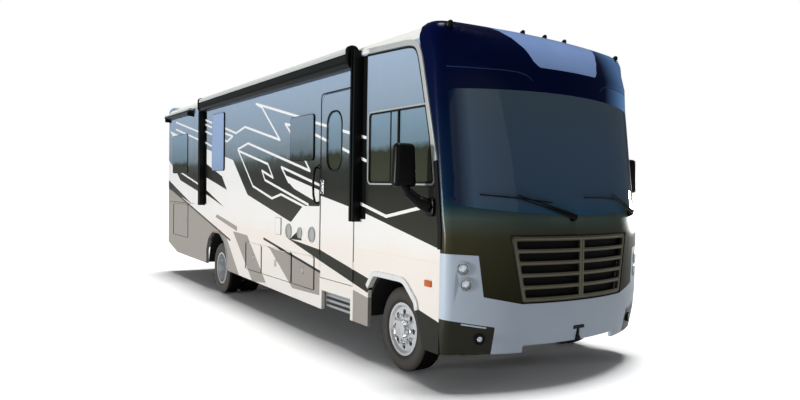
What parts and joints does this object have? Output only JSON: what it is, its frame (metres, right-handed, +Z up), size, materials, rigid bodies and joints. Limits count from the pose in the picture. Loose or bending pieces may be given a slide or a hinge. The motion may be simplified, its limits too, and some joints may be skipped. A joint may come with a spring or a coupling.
{
  "type": "motorhome",
  "caption": "Large flat-nosed motorhome with a wrap-round windscreen, side entry door, baggage lockers, rolled awning, rear slide-out room and twin rear wheels.",
  "frame": {"origin": "on the road, at the middle of the bounding box", "axes": "+X forward, +Y to the driver's left, +Z up"},
  "size_m": [10.6, 3.22, 3.37],
  "materials": {
    "chassis": "matt black paint",
    "machinery": "bare casting",
    "tank": "moulded",
    "pipe": "weathered",
    "body_paint": "gloss clear coat",
    "skirt_paint": "gloss clear coat",
    "bumper_paint": "gloss white",
    "roof_membrane": "matt white",
    "floor_board": "vinyl covered plywood",
    "glass": "tinted",
    "grille_plate": "polished",
    "lamp_glass": "clear",
    "amber": "moulded lens",
    "red_lens": "moulded lens",
    "trim_black": "moulded",
    "awning_metal": "white coated",
    "sheet": "mill finish",
    "handle": "polished",
    "upholstery": "grained",
    "wheel_metal": "polished",
    "tyre": "rubber"
  },
  "bodies": {
    "coach": {"chassis_frame": "chassis", "engine": "machinery", "drive_shaft": "chassis", "fuel_tank": "tank", "exhaust": "pipe", "front_axle": "chassis", "rear_axle": "chassis", "leaf_springs": "chassis", "floor": "floor_board", "step_well": "floor_board", "roof": "roof_membrane", "wall_right": "body_paint", "wall_left": "body_paint", "skirt_right": "skirt_paint", "skirt_left": "skirt_paint", "rear_cap": "body_paint", "front_cap": "body_paint", "front_bumper": "bumper_paint", "headlamps": "lamp_glass", "windshield": "glass", "grille": "grille_plate", "marker_lamps": "amber", "tail_lamps": "red_lens", "side_glass": "glass", "mirrors": "trim_black", "wipers": "trim_black", "awning": "awning_metal", "hitch": "chassis", "wheel_wells": "trim_black", "baggage_bays": "sheet", "entry_step": "sheet", "grab_handle": "handle", "dashboard": "trim_black", "steering_wheel": "trim_black", "seats": "upholstery"},
    "knuckle_right_body": {"knuckle_right": "chassis"},
    "front_wheel_right": {"wheel_front_right": "wheel_metal", "tyre_front_right": "tyre"},
    "rear_wheels_right": {"wheel_rear_right": "wheel_metal", "tyre_rear_right": "tyre"},
    "knuckle_left_body": {"knuckle_left": "chassis"},
    "front_wheel_left": {"wheel_front_left": "wheel_metal", "tyre_front_left": "tyre"},
    "rear_wheels_left": {"wheel_rear_left": "wheel_metal", "tyre_rear_left": "tyre"},
    "entrance": {"entry_door": "body_paint", "entry_door_glass": "glass"},
    "bay_door_rear_right_body": {"bay_door_rear_right": "skirt_paint"},
    "bay_door_mid_right_body": {"bay_door_mid_right": "skirt_paint"},
    "bay_door_centre_right_body": {"bay_door_centre_right": "skirt_paint"},
    "bay_door_fore_right_body": {"bay_door_fore_right": "skirt_paint"},
    "bay_door_rear_left_body": {"bay_door_rear_left": "skirt_paint"},
    "bay_door_mid_left_body": {"bay_door_mid_left": "skirt_paint"},
    "bay_door_fore_left_body": {"bay_door_fore_left": "skirt_paint"},
    "bedroom_slide": {"slide_out": "body_paint", "slide_out_glass": "glass", "slide_topper": "awning_metal"}
  },
  "joints": [
    {"name": "steer_right", "type": "hinge", "parent": "coach", "child": "knuckle_right_body", "pos_m": [4.01, -0.86, 0.415], "axis": [0, 0, 1], "range_deg": [-38, 38]},
    {"name": "roll_front_right", "type": "hinge", "parent": "knuckle_right_body", "child": "front_wheel_right", "pos_m": [4.01, -1.0575, 0.415], "axis": [0, 1, 0], "continuous": true},
    {"name": "roll_rear_right", "type": "hinge", "parent": "coach", "child": "rear_wheels_right", "pos_m": [-1.78, -0.9375, 0.415], "axis": [0, 1, 0], "continuous": true},
    {"name": "steer_left", "type": "hinge", "parent": "coach", "child": "knuckle_left_body", "pos_m": [4.01, 0.86, 0.415], "axis": [0, 0, 1], "range_deg": [-38, 38]},
    {"name": "roll_front_left", "type": "hinge", "parent": "knuckle_left_body", "child": "front_wheel_left", "pos_m": [4.01, 1.0575, 0.415], "axis": [0, 1, 0], "continuous": true},
    {"name": "roll_rear_left", "type": "hinge", "parent": "coach", "child": "rear_wheels_left", "pos_m": [-1.78, 0.9375, 0.415], "axis": [0, 1, 0], "continuous": true},
    {"name": "entry_door_hinge", "type": "hinge", "parent": "coach", "child": "entrance", "pos_m": [3.14, -1.275, 1.8], "axis": [0, 0, 1], "range_deg": [0, 90]},
    {"name": "bay_door_rear_right_hinge", "type": "hinge", "parent": "coach", "child": "bay_door_rear_right_body", "pos_m": [-4.19, -1.275, 1.41], "axis": [-1, 0, 0], "range_deg": [0, 90]},
    {"name": "bay_door_mid_right_hinge", "type": "hinge", "parent": "coach", "child": "bay_door_mid_right_body", "pos_m": [-0.01, -1.275, 0.955], "axis": [-1, 0, 0], "range_deg": [0, 90]},
    {"name": "bay_door_centre_right_hinge", "type": "hinge", "parent": "coach", "child": "bay_door_centre_right_body", "pos_m": [0.87, -1.275, 0.955], "axis": [-1, 0, 0], "range_deg": [0, 90]},
    {"name": "bay_door_fore_right_hinge", "type": "hinge", "parent": "coach", "child": "bay_door_fore_right_body", "pos_m": [1.775, -1.275, 0.955], "axis": [-1, 0, 0], "range_deg": [0, 90]},
    {"name": "bay_door_rear_left_hinge", "type": "hinge", "parent": "coach", "child": "bay_door_rear_left_body", "pos_m": [-4.19, 1.275, 1.41], "axis": [1, 0, 0], "range_deg": [0, 90]},
    {"name": "bay_door_mid_left_hinge", "type": "hinge", "parent": "coach", "child": "bay_door_mid_left_body", "pos_m": [0.285, 1.275, 0.955], "axis": [1, 0, 0], "range_deg": [0, 90]},
    {"name": "bay_door_fore_left_hinge", "type": "hinge", "parent": "coach", "child": "bay_door_fore_left_body", "pos_m": [1.52, 1.275, 0.955], "axis": [1, 0, 0], "range_deg": [0, 90]},
    {"name": "bedroom_slide_travel", "type": "slide", "parent": "coach", "child": "bedroom_slide", "axis": [0, -1, 0], "range_m": [0, 0.55]}
  ],
  "couplings": [
    {"joint": "steer_left", "follows": "steer_right", "ratio": 1}
  ]
}
